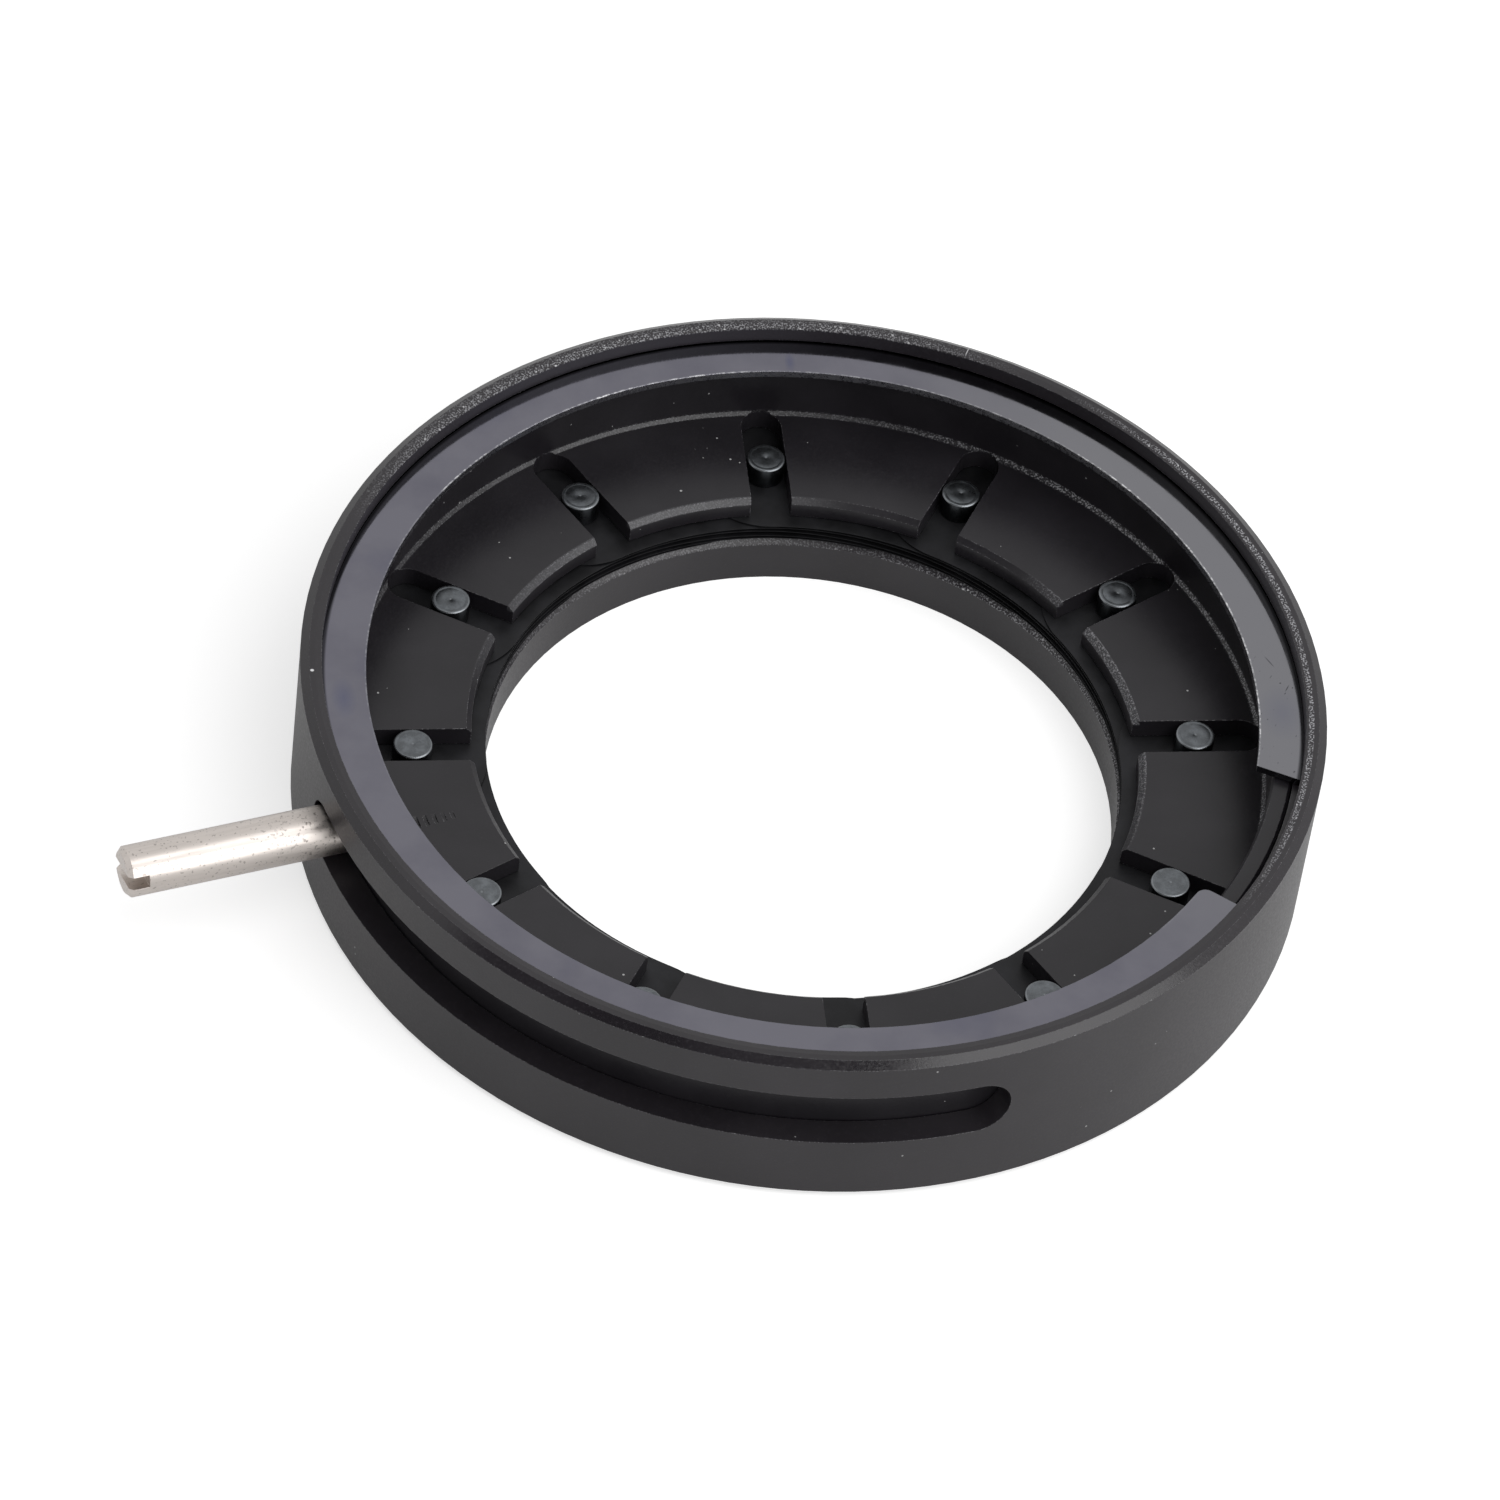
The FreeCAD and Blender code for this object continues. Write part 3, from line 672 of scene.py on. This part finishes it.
@dataclass(frozen=True)
class DrawnNickelRod:
    """Steel rod, drawn and nickel plated: a warm satin silver with fine lines along it and pits at its root."""

    name: str = "steel_rod_drawn_nickel_plated"
    color: str = "d9d1cb"
    duller: str = "cfc7c1"
    pit: str = "5e5751"
    edge_radius: float = 0.06
    # The lines run along the rod, at azimuth 194.6.
    lines: Cloud = Cloud(0.3, 3.0, 0.6, 14.0, 194.6, Span(0.45, 0.75))
    gloss: Span = Span(0.3, 0.7, 0.28, 0.38)
    root: Patch = Patch((39.5, 194.6, 8.6), (5.5, 3.0, 3.0), 194.6, 0.5)
    root_pits: Cloud = Cloud(0.3, 1.0, shows=Span(0.62, 0.70))
    few_pits: Cloud = Cloud(0.2, 0.0, shows=Span(0.71, 0.75))
    few_pits_share: float = 0.5
    pit_share: float = 0.8
    pit_depth: float = -4.0
    relief: Relief = Relief(0.004, 0.5)

    def make(self) -> bpy.types.Material:
        """Builds the material."""
        sheet = FinishSheet(self.name)
        rounded = sheet.rounded(self.edge_radius)
        lines = sheet.noise(self.lines)
        shade = sheet.lay(linear(self.color), self.duller, sheet.between(lines, self.lines.shows))
        at_root = sheet.times(sheet.spot(self.root), sheet.cloud(self.root_pits))
        pits = sheet.plus(at_root, sheet.times(sheet.cloud(self.few_pits), self.few_pits_share))
        shade = sheet.lay(shade, self.pit, sheet.times(pits, self.pit_share))
        height = sheet.plus(sheet.times(pits, self.pit_depth), lines)
        return sheet.surface(Base_Color=shade, Roughness=sheet.between(lines, self.gloss), Metallic=1.0,
                             Normal=sheet.relief(height, self.relief, rounded))


@dataclass(frozen=True)
class TurnedPinSteel:
    """Steel pin, faced on a lathe and dulled by oil: faint rings around a pip, with a painted highlight on its
    rim and pip, and painted shade in its fine groove and on its body.

    Its bands and waves follow the turning radius in mm, which the turned mesh carries.
    """

    name: str = "steel_pin_turned_oiled"
    color: str = "636669"
    paler: str = "777b7f"
    oil: str = "585c60"
    # Painted shade on the body below the head, which stands in the dark slot.
    side: str = "3c3e41"
    # Painted highlight on the rim's chamfer and on the pip.
    rim: str = "a4a8ac"
    # Painted shade in the fine groove inside the rim.
    ring: str = "505356"
    edge_radius: float = 0.03
    patches: Cloud = Cloud(0.8, 4.0, 0.65, shows=Span(0.42, 0.66))
    gloss: Span = Span(0.3, 0.7, 0.26, 0.36)
    oil_stains: Cloud = Cloud(0.25, 1.0, shows=Span(0.6, 0.72, 0.0, 0.5))
    band_fade: float = 0.03
    ring_shade_band: Tuple[float, float] = (1.15, 1.18)
    ring_shade_share: float = 0.2
    rim_highlight_band: Tuple[float, float] = (1.38, 1.48)
    rim_highlight_share: float = 0.35
    pip_highlight_band: Tuple[float, float] = (-0.2, 0.07)
    pip_highlight_fade: float = 0.05
    shaded_side_starts: Span = Span(1.47, 1.5, 0.0, 0.8)
    phase_per_mm: float = 48.0
    wave_height: float = 0.15
    grain: Cloud = Cloud(0.3, 2.0)
    relief: Relief = Relief(0.004, 0.25)

    def make(self) -> bpy.types.Material:
        """Builds the material."""
        sheet = FinishSheet(self.name)
        radius = sheet.add("ShaderNodeAttribute", attribute_name=DrivePins.radius_mark).outputs["Fac"]
        patches = sheet.noise(self.patches)
        ring = sheet.band(radius, *self.ring_shade_band, self.band_fade)
        rim = sheet.band(radius, *self.rim_highlight_band, self.band_fade)
        pip = sheet.band(radius, *self.pip_highlight_band, self.pip_highlight_fade)
        shade = sheet.lay(linear(self.color), self.paler, sheet.between(patches, self.patches.shows))
        shade = sheet.lay(shade, self.oil, sheet.cloud(self.oil_stains))
        # Painted shade in the groove.
        shade = sheet.lay(shade, self.ring, sheet.times(ring, self.ring_shade_share))
        # Painted highlight on the rim's chamfer and on the pip.
        shade = sheet.lay(shade, self.rim, sheet.times(rim, self.rim_highlight_share))
        shade = sheet.lay(shade, self.rim, sheet.times(pip, self.rim_highlight_share))
        # Painted shade on the body.
        shade = sheet.lay(shade, self.side, sheet.between(radius, self.shaded_side_starts))
        waves = sheet.add("ShaderNodeMath", {0: sheet.times(radius, self.phase_per_mm)}, operation="SINE")
        height = sheet.plus(sheet.times(waves.outputs[0], self.wave_height), sheet.noise(self.grain))
        return sheet.surface(Base_Color=shade, Roughness=sheet.between(patches, self.gloss), Metallic=1.0,
                             Normal=sheet.relief(height, self.relief, sheet.rounded(self.edge_radius)))


@dataclass(frozen=True)
class BlackenedBladeSteel:
    """Spring steel sheet, blackened: a dark satin with a grey sheen where blades rub."""

    name: str = "steel_sheet_blackened"
    color: str = "1e1e20"
    rubbed: str = "2c2c2f"
    metallic: float = 0.6
    edge_radius: float = 0.02
    rubbing: Cloud = Cloud(3.0, 4.0, 0.6, shows=Span(0.4, 0.7))
    gloss: Span = Span(0.3, 0.7, 0.36, 0.5)
    grain: Cloud = Cloud(0.3, 2.0)
    relief: Relief = Relief(0.004, 0.3)

    def make(self) -> bpy.types.Material:
        """Builds the material."""
        sheet = FinishSheet(self.name)
        rubbing = sheet.noise(self.rubbing)
        shade = sheet.lay(linear(self.color), self.rubbed, sheet.between(rubbing, self.rubbing.shows))
        rounded = sheet.rounded(self.edge_radius)
        return sheet.surface(Base_Color=shade, Roughness=sheet.between(rubbing, self.gloss),
                             Metallic=self.metallic,
                             Normal=sheet.relief(sheet.noise(self.grain), self.relief, rounded))


@dataclass
class DrivePins:
    """The twelve pins that stand on the blades' high ends in the drive ring's slots.

    Their bodies have their real width here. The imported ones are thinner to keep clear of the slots.
    The profile gives radius and height in mm, from the foot up to the pip in the top.
    """

    radius_mark = "turning_radius"
    count: int = 12
    circle_mm: float = 30.0
    steps: int = 96
    crease: float = 32.0
    weld_mm: float = 0.0001
    finish: TurnedPinSteel = TurnedPinSteel()
    profile: Profile = (
        (0.0, 5.52), (0.6, 5.52), (0.6, 5.55), (1.5, 5.55), (1.5, 7.30), (1.47, 7.355),
        (1.42, 7.39), (1.36, 7.407), (1.30, 7.41), (1.18, 7.41), (1.16, 7.405), (1.14, 7.41),
        (0.17, 7.41), (0.1, 7.385), (0.04, 7.375), (0.0, 7.375))

    def build(self) -> None:
        """Turns the pins and puts each on its blade."""
        material = self.finish.make()
        for number in range(1, self.count + 1):
            pin = self.turn(f"turned_drive_pin_{number:02d}", 360 / self.count * (number - 1))
            pin.data.materials.append(material)
            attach(pin, f"blade_{number:02d}")
            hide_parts(f"drive_pin_{number:02d}")
            LOG.info("%s: %s", pin.name, material.name)

    def turn(self, name: str, azimuth: float) -> bpy.types.Object:
        """Turns one pin from its profile.

        Args:
            name: the pin's name.
            azimuth: its place on the pin circle in degrees.

        Returns:
            The pin, in its place.
        """
        shape = bmesh.new()
        mark = shape.verts.layers.float.new(self.radius_mark)
        line = []
        for radius, height in self.profile:
            line.append(shape.verts.new((radius * MM, 0.0, height * MM)))
            line[-1][mark] = radius
        sides = [shape.edges.new(ends) for ends in zip(line, line[1:])]
        bmesh.ops.spin(shape, geom=line + sides, cent=(0, 0, 0), axis=(0, 0, 1), angle=math.tau,
                       steps=self.steps, use_merge=True)
        bmesh.ops.remove_doubles(shape, verts=shape.verts, dist=self.weld_mm * MM)
        bmesh.ops.recalc_face_normals(shape, faces=shape.faces)
        for face in shape.faces:
            face.smooth = True
        for edge in shape.edges:
            edge.smooth = edge.calc_face_angle(0.0) < math.radians(self.crease)
        place = [c * MM for c in polar(self.circle_mm, azimuth, 0.0)]
        bmesh.ops.translate(shape, vec=place, verts=shape.verts)
        mesh = bpy.data.meshes.new(name)
        shape.to_mesh(mesh)
        shape.free()
        pin = bpy.data.objects.new(name, mesh)
        bpy.context.scene.collection.objects.link(pin)
        return pin


@dataclass(frozen=True)
class PhotoCamera:
    """The camera that took the photograph, fitted to the twelve pins.

    Its angles are in radians, and its distance and offsets in radii of the pin circle.
    """

    focal_pixels: float = 7998.17
    azimuth: float = -0.203392
    elevation: float = 0.817837
    roll: float = 0.137855
    across: float = -0.143821
    up: float = -0.027675
    distance: float = 20.222941
    pin_circle_mm: float = 30.0
    pin_height_mm: float = 7.4
    sensor_mm: float = 36.0
    nearest: float = 0.01

    def build(self) -> None:
        """Places the camera and makes it the scene's own."""
        flat = math.cos(self.elevation)
        back = Vector((math.sin(self.azimuth) * flat, -math.cos(self.azimuth) * flat, math.sin(self.elevation)))
        level = (-back).cross(Vector((0, 0, 1))).normalized()
        upright = level.cross(-back)
        right = math.cos(self.roll) * level + math.sin(self.roll) * upright
        top = math.cos(self.roll) * upright - math.sin(self.roll) * level
        place = (back * self.distance + right * self.across + top * self.up) * self.pin_circle_mm * MM
        place.z += self.pin_height_mm * MM
        data = bpy.data.cameras.new("photo_camera")
        data.sensor_width = self.sensor_mm
        data.lens = self.focal_pixels / PHOTO_PIXELS * self.sensor_mm
        data.clip_start = self.nearest
        camera = bpy.data.objects.new("photo_camera", data)
        turn = Matrix((right, top, back)).transposed().to_4x4()
        camera.matrix_world = Matrix.Translation(place) @ turn
        bpy.context.scene.collection.objects.link(camera)
        bpy.context.scene.camera = camera


class StudioSide(Enum):
    """Where a lamp or card stands: its azimuth and elevation in degrees, seen from the object."""

    KEY = (313.0, 47.0)
    CAMERA_LEFT = (224.0, 55.0)
    CAMERA_TOP = (272.0, 64.0)


@dataclass
class Studio:
    """A white floor and room, a large softbox right of the camera and dark cards left of it and above.

    Sizes and distances are in metres.
    """

    floor_size: float = 3.0
    floor_color: str = "d6d6d6"
    floor_glow: float = 0.6
    floor_shine: float = 0.3
    glow_color: str = "ffffff"
    room_level: float = 0.55
    key_distance: float = 0.7
    key_size: Tuple[float, float] = (0.75, 1.05)
    key_watts: float = 4.5
    card_color: str = "303030"
    card_distance: float = 0.45
    card_size: Tuple[float, float] = (0.42, 0.42)
    top_card_size: Tuple[float, float] = (0.2, 0.2)

    def build(self) -> None:
        """Builds the room, the floor, the lamp and the cards."""
        bpy.context.scene.view_settings.view_transform = "Standard"
        self.light_room()
        self.lay_floor()
        self.hang_softbox()
        black = self.card_finish()
        self.hang_card("left_card", self.card_size, StudioSide.CAMERA_LEFT, black)
        self.hang_card("top_card", self.top_card_size, StudioSide.CAMERA_TOP, black)

    def light_room(self) -> None:
        """Fills the room with even light, white where the camera or a gloss looks at it."""
        world = bpy.data.worlds.new("studio_room")
        bpy.context.scene.world = world
        sheet = NodeSheet(world)
        rays = sheet.add("ShaderNodeLightPath").outputs
        sockets = {0: rays["Is Camera Ray"], 1: rays["Is Glossy Ray"]}
        seen = sheet.add("ShaderNodeMath", sockets, operation="MAXIMUM").outputs[0]
        level = sheet.between(seen, Span(0.0, 1.0, self.room_level, 1.0))
        light = sheet.add("ShaderNodeBackground", {"Strength": level})
        sheet.add("ShaderNodeOutputWorld", {"Surface": light.outputs[0]})

    def stage_sheet(self, name: str, size: Tuple[float, float],
                    material: bpy.types.Material) -> bpy.types.Object:
        """Makes a flat sheet that isn't part of the object.

        Args:
            name: the sheet's name.
            size: its width and height in metres.
            material: its finish.

        Returns:
            The sheet, lying at the origin.
        """
        mesh = bpy.data.meshes.new(name)
        shape = bmesh.new()
        bmesh.ops.create_grid(shape, x_segments=1, y_segments=1, size=0.5)
        bmesh.ops.scale(shape, vec=(size[0], size[1], 1.0), verts=shape.verts)
        shape.to_mesh(mesh)
        shape.free()
        mesh.materials.append(material)
        sheet = bpy.data.objects.new(name, mesh)
        bpy.context.scene.collection.objects.link(sheet)
        return sheet

    def lay_floor(self) -> None:
        """Lays the floor under the base face, glowing a little only where the camera sees it."""
        sheet = FinishSheet("studio_floor_matte_white")
        path = sheet.add("ShaderNodeLightPath")
        matte = sheet.add("ShaderNodeBsdfDiffuse", {"Color": linear(self.floor_color)})
        glow = sheet.times(path.outputs["Is Camera Ray"], self.floor_glow)
        shine = sheet.times(path.outputs["Is Glossy Ray"], self.floor_glow * self.floor_shine)
        sockets = {"Color": linear(self.glow_color), "Strength": sheet.plus(glow, shine)}
        white = sheet.add("ShaderNodeEmission", sockets)
        both = sheet.add("ShaderNodeAddShader", {0: matte.outputs[0], 1: white.outputs[0]})
        sheet.add("ShaderNodeOutputMaterial", {"Surface": both.outputs[0]})
        self.stage_sheet("floor", (self.floor_size, self.floor_size), sheet.material)

    def aim(self, thing: bpy.types.Object, side: StudioSide, distance: float) -> None:
        """Hangs a thing on one side and turns it to the object.

        Args:
            thing: the lamp or the card.
            side: where it hangs.
            distance: how far from the object, in metres.
        """
        azimuth, elevation = side.value
        flat = distance * math.cos(math.radians(elevation))
        place = Vector(polar(flat, azimuth, distance * math.sin(math.radians(elevation))))
        thing.location = place
        thing.rotation_euler = (-place).to_track_quat("-Z", "Y").to_euler()

    def hang_softbox(self) -> None:
        """Hangs the softbox that lights the object from the front right."""
        data = bpy.data.lights.new("softbox", "AREA")
        data.shape = "RECTANGLE"
        data.size, data.size_y = self.key_size
        data.energy = self.key_watts
        lamp = bpy.data.objects.new("softbox", data)
        self.aim(lamp, StudioSide.KEY, self.key_distance)
        bpy.context.scene.collection.objects.link(lamp)

    def card_finish(self) -> bpy.types.Material:
        """Makes the cards' matte black."""
        sheet = FinishSheet("studio_card_matte_black")
        matte = sheet.add("ShaderNodeBsdfDiffuse", {"Color": linear(self.card_color)})
        sheet.add("ShaderNodeOutputMaterial", {"Surface": matte.outputs[0]})
        return sheet.material

    def hang_card(self, name: str, size: Tuple[float, float], side: StudioSide,
                  material: bpy.types.Material) -> None:
        """Hangs a dark card, which gives the black edges their shade and shows only in reflections.

        Args:
            name: the card's name.
            size: its width and height in metres.
            side: where it hangs.
            material: its finish.
        """
        card = self.stage_sheet(name, size, material)
        self.aim(card, side, self.card_distance)
        card.visible_camera = False
        card.visible_diffuse = False
        card.visible_shadow = False


@dataclass
class CarriedPieces:
    """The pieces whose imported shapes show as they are, each with its finish."""

    nodes: Dict[str, bpy.types.Object]
    finishes: Dict[str, object] = field(default_factory=lambda: {
        "housing": BlastedBlackAnodised(),
        "retaining_ring": SatinSpringSteel(),
        "drive_ring": TurnedBlackAnodised(),
        "lever": DrawnNickelRod(),
        "pivot_pin": BlackenedBladeSteel(),
        "blade": BlackenedBladeSteel(),
    })

    def dress(self) -> None:
        """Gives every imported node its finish."""
        made = {prefix: finish.make() for prefix, finish in self.finishes.items()}
        for name, node in self.nodes.items():
            prefix = next((prefix for prefix in made if name.startswith(prefix)), None)
            if prefix is None:
                continue
            node.data.materials.clear()
            node.data.materials.append(made[prefix])
            LOG.info("%s: %s", name, made[prefix].name)


def main() -> None:
    """Builds the object, the studio and the camera."""
    logging.basicConfig(level=logging.INFO, format="%(message)s")
    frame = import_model()
    CarriedPieces(frame["nodes"]).dress()
    DrivePins().build()
    Studio().build()
    PhotoCamera().build()


if __name__ == "__main__":
    main()
